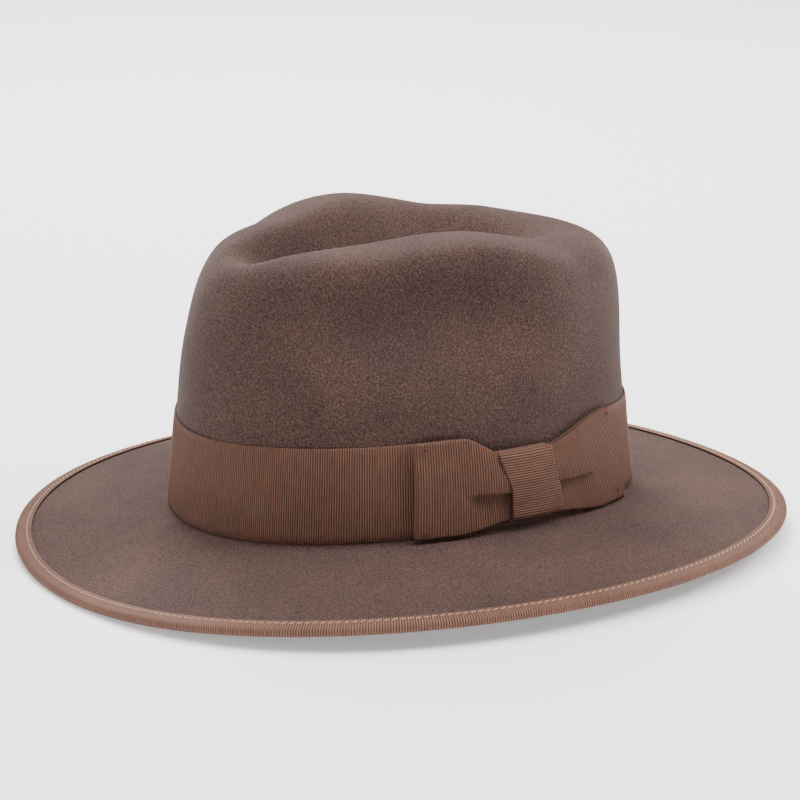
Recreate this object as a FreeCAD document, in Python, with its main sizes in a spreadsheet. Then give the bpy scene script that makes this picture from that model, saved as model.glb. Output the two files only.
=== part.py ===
import FreeCAD, Part
import math
import os
import Sketcher

# Felt fedora: one pressed felt hood carries a bound brim edge, a ribbon band with a side bow,
# and inside it a leather sweatband over a reed, with a hanging satin lining.
# Frame: +Z up, the front of the hat at -Y, the wearer's left (the bow side) at +X,
# the origin under the middle of the head opening at the lowest point of the bound brim.

doc = FreeCAD.newDocument("fedora")

dimensions = [
    ("stand_height", 7.1, "mean brim edge above the ground plane"),
    ("crown_half_length", 103.7, "outer crown base, front to back, half"),
    ("crown_half_width", 86.7, "outer crown base, side to side, half"),
    ("brim_half_length", 168.4, "felt brim edge, front to back, half"),
    ("brim_half_width", 152.8, "felt brim edge, side to side, half"),
    ("brim_squareness", 0.013, "share by which the brim oval is squared off"),
    ("break_height", 12.4, "crown base above the mean brim edge"),
    ("break_sweep", 3.0, "rise of the crown base at the sides"),
    ("break_tip", 1.4, "rise of the crown base at the front, fall at the back"),
    ("edge_sweep", 2.6, "rise of the brim edge at the sides"),
    ("edge_tip", 1.3, "rise of the brim edge at the back, fall at the front"),
    ("edge_square", 0.56, "second harmonic of the brim edge height"),
    ("edge_snap", 0.74, "third harmonic of the brim edge height"),
    ("break_radius", 3.0, "inside radius where the crown turns into the brim"),
    ("felt_thickness", 2.2, "pressed fur felt"),
    ("crown_height", 111.2, "open crown above its base"),
    ("crown_peak", 7.0, "extra height of the crown amidships"),
    ("peak_centre", -0.038, "place of the peak as a share of the half length"),
    ("peak_spread", 0.396, "spread of the peak as a share of the half length"),
    ("front_rise", 1.3, "extra crown height at the very front"),
    ("back_drop", 9.2, "lower crown at the back"),
    ("crown_round_front", 6.6, "power of the shoulder curve at the front"),
    ("crown_round_back", 12.5, "power of the shoulder curve at the back"),
    ("shoulder_fill_front", 0.027, "fuller shoulder at the front, as a share of the profile"),
    ("shoulder_fill_back", 0.036, "fuller shoulder at the back, as a share of the profile"),
    ("taper_front", 0.124, "crown taper at the front"),
    ("taper_back", 0.100, "crown taper at the back"),
    ("nose_narrowing", 0.07, "narrowing of the front of the crown top"),
    ("dent_depth", 34.3, "centre crease depth"),
    ("dent_half_width", 45.7, "half width of the crease at the back"),
    ("dent_nose_half", 14.1, "half width of the crease at the front"),
    ("dent_front", 84.3, "front end of the crease"),
    ("dent_back", 84.0, "back end of the crease"),
    ("dent_flare", 0.642, "share of the crease length over which it widens"),
    ("dent_ramp_front", 0.253, "share of the length over which it deepens"),
    ("dent_ramp_back", 0.369, "share of the length over which it comes up again"),
    ("dent_tail_in", 8.0, "narrowing of the crease at its back end"),
    ("pinch_depth", 0.235, "side pinch as a share of the half width"),
    ("pinch_forward", 40.0, "side pinch centre, forward of the middle"),
    ("pinch_length", 50.0, "half length of the pinch"),
    ("pinch_height", 89.5, "height of the pinch above the crown base"),
    ("pinch_below", 19.0, "fade of the pinch downwards"),
    ("pinch_above", 23.0, "fade of the pinch upwards"),
    ("pinch_slope", 0.06, "rise of the pinch line towards the back"),
    ("binding_thickness", 0.7, "folded grosgrain binding, one layer"),
    ("binding_width", 7.5, "binding seen on each face of the brim"),
    ("binding_stitch_inset", 4.9, "stitch line in from the felt edge"),
    ("thread_radius", 0.22, "sewing thread"),
    ("part_gap", 0.15, "air between touching soft pieces"),
    ("ribbon_thickness", 0.7, "hatband grosgrain"),
    ("ribbon_bottom", 1.5, "hatband lower edge above the crown base"),
    ("ribbon_height", 38.8, "hatband height"),
    ("bow_leaf_thickness", 2.2, "doubled ribbon at the free end of a bow leaf"),
    ("bow_core_thickness", 4.2, "gathered ribbon under the knot"),
    ("bow_core_height", 24.2, "height of the gathered ribbon under the knot"),
    ("knot_height", 29.5, "bow knot, top to bottom"),
    ("knot_level", 17.8, "middle of the knot above the crown base"),
    ("knot_thickness", 1.0, "ribbon of the knot"),
    ("bow_front_end", 25.6, "front leaf end, degrees forward of the side"),
    ("bow_rear_end", 37.6, "rear leaf end, degrees behind the side"),
    ("knot_front", 3.6, "front edge of the knot, degrees forward of the side"),
    ("knot_rear", 12.4, "rear edge of the knot, degrees behind the side"),
    ("leather_thickness", 1.3, "sweatband leather"),
    ("leather_height", 55.0, "sweatband height"),
    ("lining_thickness", 0.4, "satin lining"),
    ("reed_radius", 0.8, "springy reed in the sweatband's lower edge"),
    ("tape_thickness", 0.4, "cotton tape round the reed"),
    ("tip_half_length", 84.0, "lining tip, half length"),
    ("tip_half_width", 60.0, "lining tip, half width"),
    ("tip_level", 94.0, "underside of the lining tip above the ground"),
    ("tip_thickness", 0.5, "lining tip"),
    ("piping_radius", 0.9, "cord piped round the lining tip"),
    ("shield_half_length", 46.0, "clear shield, half length"),
    ("shield_half_width", 34.0, "clear shield, half width"),
    ("shield_thickness", 0.3, "clear shield"),
    ("rear_bow_span", 22.0, "small sweatband bow, tip to tip"),
    ("rear_bow_height", 8.0, "small sweatband bow, height"),
    ("rear_bow_waist", 3.0, "small sweatband bow, waist"),
    ("rear_bow_thickness", 1.2, "small sweatband bow, thickness"),
    ("rear_bow_level", 41.0, "small sweatband bow above the ground"),
    ("rear_bow_place", 95.3, "small sweatband bow behind the middle"),
]

sheet = doc.addObject("Spreadsheet::Sheet", "dimensions")
for index, (name, value, note) in enumerate(dimensions):
    row = index + 1
    sheet.set("A%d" % row, name)
    sheet.set("B%d" % row, str(value))
    sheet.set("C%d" % row, note)
    sheet.setAlias("B%d" % row, name)
doc.recompute()
size = {name: float(sheet.get(name)) for name, value, note in dimensions}


def smooth(low, high, value):
    t = min(max((value - low) / (high - low), 0.0), 1.0)
    return t * t * (3.0 - 2.0 * t)


def bell(distance, spread, power=2.0):
    return math.exp(-abs(distance / spread) ** power)


# The outer felt surface. The angle runs round the hat (-90 degrees is the front), the climb runs
# from the crown base (0) to the middle of the top (90 degrees).
def crownPoint(angle, climb):
    across, along = math.cos(climb), math.sin(climb)
    backShare = 0.5 + 0.5 * math.sin(angle)
    power = size["crown_round_front"] * (1 - backShare) + size["crown_round_back"] * backShare
    norm = (across ** power + along ** power) ** (1.0 / power)
    fill = size["shoulder_fill_front"] * (1 - backShare) + size["shoulder_fill_back"] * backShare
    fill *= smooth(0.55, 0.85, abs(math.sin(angle))) * bell(climb - math.pi / 4, 0.22)
    norm /= 1 + fill
    reach, lift = across / norm, along / norm
    taper = size["taper_front"] * (1 - backShare) + size["taper_back"] * backShare
    scale = reach * (1 - taper * lift)
    x = size["crown_half_width"] * scale * math.cos(angle)
    y = size["crown_half_length"] * scale * math.sin(angle)
    place = y / size["crown_half_length"]
    height = size["crown_height"]
    height += size["crown_peak"] * bell(place - size["peak_centre"], size["peak_spread"])
    height -= size["back_drop"] * smooth(0, 1, place)
    height += size["front_rise"] * smooth(0, 1, -place)
    z = height * lift
    fromPinch = y + size["pinch_forward"]
    rise = z - size["pinch_height"] - size["pinch_slope"] * fromPinch
    fade = size["pinch_below"] if rise < 0 else size["pinch_above"]
    x *= 1 - size["pinch_depth"] * bell(fromPinch, size["pinch_length"], 3.4) * bell(rise, fade)
    x *= 1 - size["nose_narrowing"] * smooth(0.2, 1, -place) * smooth(0.4, 1, lift)
    length = size["dent_front"] + size["dent_back"]
    share = (y + size["dent_front"]) / length
    half = size["dent_nose_half"]
    half += (size["dent_half_width"] - half) * smooth(-0.1, size["dent_flare"], share)
    half -= size["dent_tail_in"] * smooth(0.6, 1, share)
    valley = 0.5 * (1 + math.cos(math.pi * min(abs(x) / half, 1.0)))
    deep = size["dent_depth"] * smooth(0, size["dent_ramp_front"], share)
    deep *= smooth(0, size["dent_ramp_back"], 1 - share)
    z -= deep * valley * smooth(0.55, 0.95, lift)
    z += breakHeight(angle, max(1 - climb / 0.6, 0.0))
    return FreeCAD.Vector(x, y, z)


def breakHeight(angle, fade=1.0):
    sweep = size["break_sweep"] * math.cos(2 * angle) - size["break_tip"] * math.sin(angle)
    return size["stand_height"] + size["break_height"] + sweep * fade


def edgeHeight(angle):
    z = size["stand_height"] + size["edge_tip"] * math.sin(angle)
    z += size["edge_sweep"] * math.cos(2 * angle)
    z -= size["edge_square"] * math.cos(4 * angle)
    z -= size["edge_snap"] * math.sin(3 * angle)
    return z + size["felt_thickness"] / 2


def brimPoint(angle, share):
    inset = size["felt_thickness"] / 2
    outLong = size["brim_half_length"] - inset
    outWide = size["brim_half_width"] - inset
    x = size["crown_half_width"] * (1 - share) + outWide * share
    y = size["crown_half_length"] * (1 - share) + outLong * share
    oval = 1 - size["brim_squareness"] * math.cos(4 * angle) * share
    edge = edgeHeight(angle)
    z = edge + (breakHeight(angle) - edge) * (1 - share)
    return FreeCAD.Vector(x * oval * math.cos(angle), y * oval * math.sin(angle), z)


# One path down the outside of the felt: 0 at the top centre, 1 at the foot of the wall,
# 2 where the turn into the brim ends, 3 where the rounded brim edge begins.
tangentRun = size["break_radius"] * 0.733
brimRun = size["brim_half_length"] - size["crown_half_length"]


def feltPoint(angle, path):
    footClimb = math.atan(tangentRun / size["crown_height"])
    footShare = tangentRun / brimRun
    if path <= 1:
        return crownPoint(angle, math.pi / 2 + (footClimb - math.pi / 2) * path)
    if path >= 2:
        return brimPoint(angle, footShare + (1 - footShare) * (path - 2))
    foot = crownPoint(angle, footClimb)
    corner = crownPoint(angle, 0.0)
    out = brimPoint(angle, footShare)
    t = path - 1
    w = 0.806
    weights = ((1 - t) ** 2, 2 * t * (1 - t) * w, t * t)
    whole = sum(weights)
    return (foot * weights[0] + corner * weights[1] + out * weights[2]) * (1.0 / whole)


def feltNormal(angle, path):
    if path < 0.002:
        first = feltNormal(math.pi / 2, 0.004)
        second = feltNormal(-math.pi / 2, 0.004)
        both = first + second
        return both.normalize()
    step = 0.0008
    round1 = feltPoint(angle + 0.004, path)
    round0 = feltPoint(angle - 0.004, path)
    down1 = feltPoint(angle, min(path + step, 3.0))
    down0 = feltPoint(angle, path - step)
    normal = (down1 - down0).cross(round1 - round0)
    return normal.normalize()


def offsetFelt(angle, path, offset):
    return feltPoint(angle, path) + feltNormal(angle, path) * offset


# A point beside the wall: height above the crown base, offset out from the felt.
def wallPoint(angle, height, offset):
    footClimb = math.atan(tangentRun / size["crown_height"])
    lowest = crownPoint(angle, footClimb).z
    target = breakHeight(angle) + height
    below = min(target - lowest, 0.0)
    climb = math.atan(max(height, tangentRun) / size["crown_height"])
    for attempt in range(4):
        error = crownPoint(angle, climb).z - max(target, lowest)
        climb = max(climb - error / size["crown_height"] * math.cos(climb) ** 2, footClimb)
    path = (climb - math.pi / 2) / (footClimb - math.pi / 2)
    return offsetFelt(angle, path, offset) + FreeCAD.Vector(0, 0, below)


def ringAngles(count):
    return [math.pi / 2 + 2 * math.pi * step / count for step in range(count + 1)]


# A smooth closed skin whose control net is the grid: the outer list runs round or along the
# piece, the inner list runs across it. A direction that is not closed ends in a point.
def skin(grid, roundClosed, sectionClosed):
    rows = grid[:-1] if roundClosed else grid
    if sectionClosed:
        rows = [row[:-1] for row in rows]
    uCount, vCount = len(rows), len(rows[0])

    def knotsFor(count, closed):
        if closed:
            return list(range(count + 1)), [1] * (count + 1)
        return list(range(count - 2)), [4] + [1] * (count - 4) + [4]

    uKnots, uMults = knotsFor(uCount, roundClosed)
    vKnots, vMults = knotsFor(vCount, sectionClosed)
    surface = Part.BSplineSurface()
    surface.buildFromPolesMultsKnots(
        rows, uMults, vMults, uKnots, vKnots, roundClosed, sectionClosed, 3, 3)
    if roundClosed:
        surface.setUNotPeriodic()
    if sectionClosed:
        surface.setVNotPeriodic()
    u0, u1, v0, v1 = surface.bounds()
    faces = []
    for uPart in range(4):
        for vPart in range(2):
            patch = surface.copy()
            patch.segment(
                u0 + (u1 - u0) * uPart / 4, u0 + (u1 - u0) * (uPart + 1) / 4,
                v0 + (v1 - v0) * vPart / 2, v0 + (v1 - v0) * (vPart + 1) / 2)
            faces.append(patch.toShape())
    shell = Part.makeShell(faces)
    shell.sewShape()
    solid = Part.Solid(shell.Shells[0])
    if solid.Volume < 0:
        solid.reverse()
    return solid


def addShape(label, shape):
    piece = doc.addObject("Part::Feature", label)
    piece.Label = label
    piece.Shape = shape
    return piece


# Rounded flat section as (height, offset) pairs, closed.
def stripSection(low, high, inner, outer):
    middle = (inner + outer) / 2
    round_ = (outer - inner) / 2
    bottom, top = low + round_, high - round_
    shares = [0, 0.012, 0.035, 0.09, 0.2, 0.4, 0.6, 0.8, 0.91, 0.965, 0.988, 1]
    points = [(bottom + (top - bottom) * share, outer) for share in shares]
    for turn in (30, 60, 90, 120, 150):
        a = math.radians(turn)
        points.append((top + round_ * math.sin(a), middle + round_ * math.cos(a)))
    points += [(top + (bottom - top) * share, inner) for share in shares]
    for turn in (210, 240, 270, 300, 330):
        a = math.radians(turn)
        points.append((bottom + round_ * math.sin(a), middle + round_ * math.cos(a)))
    points.append(points[0])
    return points


def wallRing(section, count=96):
    grid = []
    for angle in ringAngles(count):
        grid.append([wallPoint(angle, height, offset) for height, offset in section])
    return skin(grid, True, True)


# A closed block beside the wall between two angles, with small rounded ends.
def wallBlock(start, stop, sectionAt, count=24):
    rounding = 0.35
    grid = []

    def ringAt(angle, shrink, scale):
        low, high, inner, outer = sectionAt(angle)
        pairs = stripSection(low + shrink, high - shrink, inner + shrink, outer - shrink)
        midHeight, midOffset = (low + high) / 2, (inner + outer) / 2
        ring = []
        for height, offset in pairs:
            height = midHeight + (height - midHeight) * scale
            offset = midOffset + (offset - midOffset) * scale
            ring.append(wallPoint(angle, height, offset))
        return ring

    turnSize = rounding / 90.0
    for scale in (0.0, 0.3, 0.6, 0.85, 0.96):
        grid.append(ringAt(start, rounding, scale))
    for turn in (0, 30, 60):
        a = math.radians(turn)
        grid.append(ringAt(start + turnSize * (1 - math.cos(a)), rounding * (1 - math.sin(a)), 1))
    shares = [0, 0.012, 0.04]
    shares += [0.04 + 0.92 * step / count for step in range(1, count + 1)]
    shares += [0.988, 1]
    first, last = start + turnSize, stop - turnSize
    for share in shares:
        grid.append(ringAt(first + (last - first) * share, 0, 1))
    for turn in (60, 30, 0):
        a = math.radians(turn)
        grid.append(ringAt(stop - turnSize * (1 - math.cos(a)), rounding * (1 - math.sin(a)), 1))
    for scale in (0.96, 0.85, 0.6, 0.3, 0.0):
        grid.append(ringAt(stop, rounding, scale))
    return skin(grid, False, True)


# Felt hood: crown, turn, brim, rounded edge, underside and the inside of the crown in one skin.
gap = size["part_gap"]
felt = size["felt_thickness"]
downs = []
footClimb = math.degrees(math.atan(tangentRun / size["crown_height"]))
climbs = [90, 87, 84, 80, 76, 72, 68, 64, 61, 58, 56, 54, 52.5, 51, 49.5, 48, 46.5, 45]
climbs += [43.5, 42, 40.5, 39, 37, 35, 32, 29, 26, 23, 20, 16, 12, 8, 5, 3]
for climb in climbs:
    downs.append((90 - climb) / (90 - footClimb))
downs += [1.0, 1.25, 1.5, 1.75, 2.0, 2.05, 2.15, 2.3, 2.45, 2.6, 2.75, 2.88, 2.96, 3.0]
grid = []
for angle in ringAngles(96):
    column = [offsetFelt(angle, path, 0) for path in downs]
    normal = feltNormal(angle, 3.0)
    out = feltPoint(angle, 3.0) - feltPoint(angle, 2.98)
    out.normalize()
    centre = offsetFelt(angle, 3.0, -felt / 2)
    for turn in (30, 60, 90, 120, 150):
        a = math.radians(turn)
        column.append(centre + normal * (felt / 2 * math.cos(a)) + out * (felt / 2 * math.sin(a)))
    column += [offsetFelt(angle, path, -felt) for path in reversed(downs)]
    grid.append(column)
addShape("felt_hood", skin(grid, True, False))

# Brim binding: a grosgrain strip folded over the brim edge.
inner = felt / 2 + gap
outer = inner + size["binding_thickness"]
half = (outer - inner) / 2
middle = (outer + inner) / 2


def edgePoint(angle, inset, offset):
    path = 3.0 - inset / brimRun * (1 / (1 - tangentRun / brimRun))
    return offsetFelt(angle, path, -felt / 2 + offset)


def edgeTurn(angle, radius, turn):
    a = math.radians(turn)
    normal = feltNormal(angle, 3.0)
    out = (feltPoint(angle, 3.0) - feltPoint(angle, 2.98)).normalize()
    centre = offsetFelt(angle, 3.0, -felt / 2)
    return centre + normal * (radius * math.cos(a)) + out * (radius * math.sin(a))


width = size["binding_width"] - felt / 2 - half
insets = [1, 0.98, 0.93, 0.8, 0.55, 0.3, 0.12, 0.04, 0]
grid = []
for angle in ringAngles(120):
    column = [edgePoint(angle, width * share, outer) for share in insets]
    column += [edgeTurn(angle, outer, turn) for turn in (22, 45, 68, 90, 112, 135, 158)]
    column += [edgePoint(angle, width * share, -outer) for share in reversed(insets)]
    for turn in (45, 90, 135):
        a = math.radians(turn)
        column.append(edgePoint(angle, width + half * math.sin(a), -middle - half * math.cos(a)))
    column += [edgePoint(angle, width * share, -inner) for share in insets]
    column += [edgeTurn(angle, inner, turn) for turn in (158, 135, 112, 90, 68, 45, 22)]
    column += [edgePoint(angle, width * share, inner) for share in reversed(insets)]
    for turn in (45, 90, 135):
        a = math.radians(turn)
        column.append(edgePoint(angle, width + half * math.sin(a), middle - half * math.cos(a)))
    column.append(column[0])
    grid.append(column)
addShape("brim_binding", skin(grid, True, True))


# Thread lines: a round cord that follows a line given as (point, normal, side) round the hat.
def cordRing(lineAt, radius, count=120):
    grid = []
    for angle in ringAngles(count):
        centre, normal, side = lineAt(angle)
        ring = []
        for turn in range(0, 361, 45):
            a = math.radians(turn)
            ring.append(centre + normal * (radius * math.cos(a)) + side * (radius * math.sin(a)))
        grid.append(ring)
    return skin(grid, True, True)


# A sewing thread as an eight-sided strand, so that its flat sides stay true at any mesh size.
def strandRing(lineAt, radius, count=120):
    corners = []
    for angle in ringAngles(count)[:-1]:
        centre, normal, side = lineAt(angle)
        ring = []
        for turn in range(0, 360, 45):
            a = math.radians(turn + 22.5)
            ring.append(centre + normal * (radius * math.cos(a)) + side * (radius * math.sin(a)))
        corners.append(ring)
    faces = []
    for side in range(8):
        rows = [[ring[side], ring[(side + 1) % 8]] for ring in corners]
        surface = Part.BSplineSurface()
        surface.buildFromPolesMultsKnots(
            rows, [1] * (count + 1), [2, 2], list(range(count + 1)), [0, 1], True, False, 3, 1)
        surface.setUNotPeriodic()
        u0, u1, v0, v1 = surface.bounds()
        for uPart in range(4):
            patch = surface.copy()
            patch.segment(
                u0 + (u1 - u0) * uPart / 4, u0 + (u1 - u0) * (uPart + 1) / 4, v0, v1)
            faces.append(patch.toShape())
    shell = Part.makeShell(faces)
    shell.sewShape()
    solid = Part.Solid(shell.Shells[0])
    if solid.Volume < 0:
        solid.reverse()
    return solid


def bindingLine(face):
    def lineAt(angle):
        inset = size["binding_stitch_inset"] - felt / 2
        offset = face * (outer + gap + size["thread_radius"])
        centre = edgePoint(angle, inset, offset)
        side = (edgePoint(angle, inset - 1, offset) - centre).normalize()
        return centre, feltNormal(angle, 2.9), side
    return lineAt


upper = strandRing(bindingLine(1), size["thread_radius"])
lower = strandRing(bindingLine(-1), size["thread_radius"])
addShape("brim_binding_stitches", Part.Compound([upper, lower]))

# Hatband: one turn of grosgrain, open under the bow where its two ends are tucked.
bandInner = gap
bandOuter = gap + size["ribbon_thickness"]
bandLow = size["ribbon_bottom"]
bandHigh = bandLow + size["ribbon_height"]
band = wallRing(stripSection(bandLow, bandHigh, bandInner, bandOuter))
band = band.cut(Part.makeBox(80, 56, 120, FreeCAD.Vector(40, -18, 0)))
addShape("hatband", band)

# Bow: two doubled leaves whose gathered inner ends run under the knot.
sideCentre = size["knot_level"]
leafInner = bandOuter + gap
coreOuter = leafInner + size["bow_core_thickness"]
knotFront = -math.radians(size["knot_front"])
knotRear = math.radians(size["knot_rear"])
knotMiddle = (knotFront + knotRear) / 2


def frontLeaf(angle):
    share = smooth(-math.radians(17.0), knotFront - 0.02, angle)
    high = bandHigh + 0.6 - (bandHigh + 0.6 - sideCentre - size["bow_core_height"] / 2) * share
    low = bandLow - 0.2 + (sideCentre - size["bow_core_height"] / 2 - bandLow + 0.2) * share
    outside = leafInner + size["bow_leaf_thickness"]
    outside += (coreOuter - outside) * smooth(-math.radians(25.0), knotFront, angle)
    return low, high, leafInner, outside


def rearLeaf(angle):
    share = smooth(math.radians(30.0), knotRear + 0.02, angle)
    high = bandHigh + 0.6 - (bandHigh + 0.6 - sideCentre - size["bow_core_height"] / 2) * share
    low = bandLow - 0.2 + (sideCentre - size["bow_core_height"] / 2 - bandLow + 0.2) * share
    outside = leafInner + size["bow_leaf_thickness"]
    outside += (coreOuter - outside) * smooth(math.radians(37.0), knotRear, angle)
    return low, high, leafInner, outside


frontEnd = -math.radians(size["bow_front_end"])
rearEnd = math.radians(size["bow_rear_end"])
addShape("bow_front_leaf", wallBlock(frontEnd, knotMiddle - 0.004, frontLeaf))
addShape("bow_rear_leaf", wallBlock(knotMiddle + 0.004, rearEnd, rearLeaf))


def knotBody(angle):
    half = size["knot_height"] / 2
    return sideCentre - half, sideCentre + half, gap, coreOuter + gap + size["knot_thickness"]


def knotHollow(angle):
    half = size["knot_height"] / 2 - size["knot_thickness"]
    return sideCentre - half, sideCentre + half, -0.6, coreOuter + gap


knot = wallBlock(knotFront, knotRear, knotBody, 12)
hollow = wallBlock(knotFront - 0.03, knotRear + 0.03, knotHollow, 12)
addShape("bow_knot", knot.cut(hollow))


# Bow tacks: four short stitches that hold the corners of the leaves.
def tack(angle, height, section):
    thread = 1.4 * size["thread_radius"]
    outside = section(angle)[3] + gap + thread
    start = wallPoint(angle - 0.012, height - 1.0, outside)
    stop = wallPoint(angle + 0.012, height + 1.0, outside)
    along = stop - start
    return Part.makeCylinder(thread, along.Length, start, along)


tacks = [
    tack(frontEnd + 0.04, bandHigh - 3.0, frontLeaf),
    tack(frontEnd + 0.04, bandLow + 3.0, frontLeaf),
    tack(rearEnd - 0.04, bandHigh - 3.0, rearLeaf),
    tack(rearEnd - 0.04, bandLow + 3.0, rearLeaf),
]
addShape("bow_tack_stitches", Part.Compound(tacks))

# Sweatband: leather against the inside of the wall, over the lining's tucked lower edge.
liningOuter = -felt - 2 * gap
liningInner = liningOuter - size["lining_thickness"]
leatherOuter = liningInner - gap
leatherInner = leatherOuter - size["leather_thickness"]
leatherLow = 1.2
section = stripSection(leatherLow, leatherLow + size["leather_height"], leatherInner, leatherOuter)
addShape("sweatband", wallRing(section))

# Reed in the lower edge of the sweatband, and the cotton tape folded up round it.
reedOffset = (leatherInner + leatherOuter) / 2
reedHeight = leatherLow - gap - size["reed_radius"]


def reedLine(angle):
    centre = wallPoint(angle, reedHeight, reedOffset)
    out = (wallPoint(angle, reedHeight, reedOffset + 1) - centre).normalize()
    return centre, out, FreeCAD.Vector(0, 0, 1)


addShape("sweatband_reed", cordRing(reedLine, size["reed_radius"]))
tapeHalf = size["tape_thickness"] / 2
tapeRadius = size["reed_radius"] + gap + tapeHalf
section = [(6.0, tapeRadius), (4.5, tapeRadius), (2.5, tapeRadius), (1.0, tapeRadius)]
for turn in range(0, 181, 20):
    a = math.radians(turn)
    section.append((-tapeRadius * math.sin(a), tapeRadius * math.cos(a)))
section.append((0.5, -tapeRadius))


# Both faces of a folded strip from its middle line, given as (up, out) pairs.
def foldedSection(line, half):
    faces = ([], [])
    for index, (up, out) in enumerate(line):
        before = line[max(index - 1, 0)]
        after = line[min(index + 1, len(line) - 1)]
        alongUp, alongOut = after[0] - before[0], after[1] - before[1]
        length = math.hypot(alongUp, alongOut)
        faces[0].append((up - alongOut / length * half, out + alongUp / length * half))
        faces[1].append((up + alongOut / length * half, out - alongUp / length * half))
    return faces[0] + faces[1][::-1] + faces[0][:1]


tapeLoop = foldedSection(section, tapeHalf)
grid = []
for angle in ringAngles(96):
    grid.append([wallPoint(angle, reedHeight + up, reedOffset + out) for up, out in tapeLoop])
addShape("sweatband_reed_tape", skin(grid, True, True))


# Lock stitch that holds the leather to the tape and the felt, just above the lower edge.
def leatherStitch(angle):
    offset = leatherInner - gap - size["thread_radius"]
    centre = wallPoint(angle, leatherLow + 3.0, offset)
    out = feltNormal(angle, 0.9)
    return centre, out, FreeCAD.Vector(0, 0, 1)


addShape("sweatband_stitches", strandRing(leatherStitch, size["thread_radius"]))


# Lining side wall: its lower edge is tucked behind the leather, its upper edge meets the tip.
tipHeight = size["tip_level"]


def liningPoint(angle, share, offset):
    low = 24.0
    tall = tipHeight - breakHeight(angle) - low
    wall = wallPoint(angle, low + tall * min(share, 1.0), offset)
    flat = size["piping_radius"] + gap + size["lining_thickness"] + offset - liningOuter
    tip = FreeCAD.Vector(
        (size["tip_half_width"] + flat) * math.cos(angle),
        (size["tip_half_length"] + flat) * math.sin(angle),
        tipHeight,
    )
    lean = smooth(0.74, 1.0, share)
    z = wall.z
    point = wall + (tip - wall) * lean
    return FreeCAD.Vector(point.x, point.y, z)


grid = []
shares = [0, 0.01, 0.03, 0.1, 0.2, 0.3, 0.4, 0.5, 0.6, 0.7, 0.78, 0.86, 0.92, 0.96, 0.985, 1]
for angle in ringAngles(96):
    ring = [liningPoint(angle, share, liningOuter) for share in shares]
    middle = (liningOuter + liningInner) / 2
    ring.append(liningPoint(angle, 1.0, middle) + FreeCAD.Vector(0, 0, 0.2))
    ring += [liningPoint(angle, share, liningInner) for share in reversed(shares)]
    ring.append(liningPoint(angle, 0.0, middle) - FreeCAD.Vector(0, 0, 0.2))
    ring.append(ring[0])
    grid.append(ring)
addShape("lining_sidewall", skin(grid, True, True))


# Flat and piped lining pieces as sketched bodies bound to the dimension sheet.
def newBody(label):
    body = doc.addObject("PartDesign::Body", label)
    body.Label = label
    return body


def originPlane(body, role):
    for feature in body.Origin.OriginFeatures:
        if feature.Role == role:
            return feature


def newSketch(body, name, role):
    sketch = body.newObject("Sketcher::SketchObject", name)
    sketch.AttachmentSupport = [(originPlane(body, role), "")]
    sketch.MapMode = "FlatFace"
    return sketch


def addOval(sketch, longName, shortName, along="Y"):
    longHalf, shortHalf = size[longName], size[shortName]
    centre = FreeCAD.Vector(0, 0, 0)
    major = FreeCAD.Vector(0, longHalf, 0)
    minor = FreeCAD.Vector(shortHalf, 0, 0)
    oval = sketch.addGeometry(Part.Ellipse(major, minor, centre), False)
    sketch.exposeInternalGeometry(oval)
    sketch.addConstraint(Sketcher.Constraint("Coincident", oval, 3, -1, 1))
    sketch.addConstraint(Sketcher.Constraint("PointOnObject", 1, 1, -2))
    longSize = sketch.addConstraint(Sketcher.Constraint("Distance", 1, 1, 1, 2, 2 * longHalf))
    shortSize = sketch.addConstraint(Sketcher.Constraint("Distance", 2, 1, 2, 2, 2 * shortHalf))
    sketch.setExpression("Constraints[%d]" % longSize, "2 * dimensions." + longName)
    sketch.setExpression("Constraints[%d]" % shortSize, "2 * dimensions." + shortName)
    return oval


def padBody(label, sketchMaker, role, thickness):
    body = newBody(label)
    sketch = newSketch(body, label + "_sketch", role)
    sketchMaker(sketch)
    pad = body.newObject("PartDesign::Pad", label + "_pad")
    pad.Profile = sketch
    pad.setExpression("Length", "dimensions." + thickness)
    body.Tip = pad
    return body


tip = padBody(
    "lining_tip",
    lambda sketch: addOval(sketch, "tip_half_length", "tip_half_width"),
    "XY_Plane",
    "tip_thickness",
)
tip.setExpression("Placement.Base.z", "dimensions.tip_level")

shield = padBody(
    "tip_shield",
    lambda sketch: addOval(sketch, "shield_half_length", "shield_half_width"),
    "XY_Plane",
    "shield_thickness",
)
below = "dimensions.tip_level - dimensions.part_gap - dimensions.shield_thickness"
shield.setExpression("Placement.Base.z", below)

piping = newBody("lining_piping")
path = newSketch(piping, "piping_path", "XY_Plane")
addOval(path, "tip_half_length", "tip_half_width")
profile = newSketch(piping, "piping_profile", "YZ_Plane")
centre = FreeCAD.Vector(size["tip_half_length"], 0, 0)
ring = profile.addGeometry(Part.Circle(centre, FreeCAD.Vector(0, 0, 1), size["piping_radius"]))
radius = profile.addConstraint(Sketcher.Constraint("Radius", ring, size["piping_radius"]))
profile.setExpression("Constraints[%d]" % radius, "dimensions.piping_radius")
profile.addConstraint(Sketcher.Constraint("PointOnObject", ring, 3, -1))
away = Sketcher.Constraint("DistanceX", -1, 1, ring, 3, size["tip_half_length"])
away = profile.addConstraint(away)
profile.setExpression("Constraints[%d]" % away, "dimensions.tip_half_length")
pipe = piping.newObject("PartDesign::AdditivePipe", "piping_pipe")
pipe.Profile = profile
pipe.Spine = (path, ["Edge1"])
piping.Tip = pipe
level = "dimensions.tip_level - dimensions.piping_radius - dimensions.part_gap"
piping.setExpression("Placement.Base.z", level)


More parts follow.
